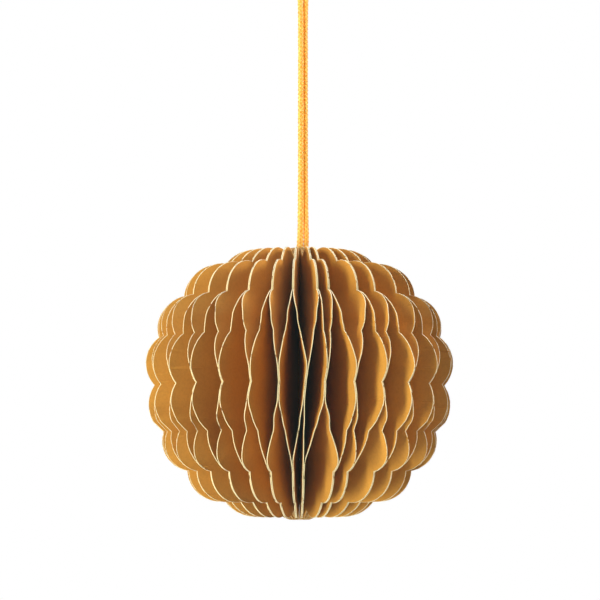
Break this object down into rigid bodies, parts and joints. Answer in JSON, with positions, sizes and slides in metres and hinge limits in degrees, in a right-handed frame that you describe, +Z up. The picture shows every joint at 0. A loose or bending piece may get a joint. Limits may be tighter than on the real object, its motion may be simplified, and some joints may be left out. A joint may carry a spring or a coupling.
{
  "type": "honeycomb paper ball on a hanging cord",
  "caption": "Hanging ball of scalloped half-round card leaves fanned round a hollow spine and glued in alternate strips, on a doubled soft cord.",
  "frame": {"origin": "inside the top of the cord's loop, where a hook carries it, above the middle of the ball", "axes": "+Z up along the ball's spine; -Y is the side that the picture shows"},
  "size_m": [0.0997, 0.0996, 0.1918],
  "materials": {
    "ochre_card": "matt ochre card, dyed both sides, pale cream cut edges",
    "orange_cord": "soft fuzzy yellow-orange twisted cord"
  },
  "bodies": {
    "root": {"leaf_01": "ochre_card", "leaf_02": "ochre_card", "leaf_03": "ochre_card", "leaf_04": "ochre_card", "leaf_05": "ochre_card", "leaf_06": "ochre_card", "leaf_07": "ochre_card", "leaf_08": "ochre_card", "leaf_09": "ochre_card", "leaf_10": "ochre_card", "leaf_11": "ochre_card", "leaf_12": "ochre_card", "leaf_13": "ochre_card", "leaf_14": "ochre_card", "leaf_15": "ochre_card", "leaf_16": "ochre_card", "leaf_17": "ochre_card", "leaf_18": "ochre_card", "leaf_19": "ochre_card", "leaf_20": "ochre_card", "leaf_21": "ochre_card", "leaf_22": "ochre_card", "leaf_23": "ochre_card", "leaf_24": "ochre_card", "leaf_25": "ochre_card", "leaf_26": "ochre_card", "leaf_27": "ochre_card", "leaf_28": "ochre_card", "leaf_29": "ochre_card", "leaf_30": "ochre_card", "leaf_31": "ochre_card", "leaf_32": "ochre_card", "leaf_33": "ochre_card", "leaf_34": "ochre_card", "leaf_35": "ochre_card", "leaf_36": "ochre_card", "leaf_37": "ochre_card", "leaf_38": "ochre_card", "leaf_39": "ochre_card", "leaf_40": "ochre_card", "leaf_41": "ochre_card", "leaf_42": "ochre_card", "leaf_43": "ochre_card", "leaf_44": "ochre_card", "leaf_45": "ochre_card", "leaf_46": "ochre_card", "leaf_47": "ochre_card", "leaf_48": "ochre_card", "leaf_49": "ochre_card", "leaf_50": "ochre_card", "leaf_51": "ochre_card", "leaf_52": "ochre_card", "leaf_53": "ochre_card", "leaf_54": "ochre_card", "leaf_55": "ochre_card", "leaf_56": "ochre_card", "cord_loop": "orange_cord", "cord_knot": "orange_cord"}
  },
  "joints": []
}
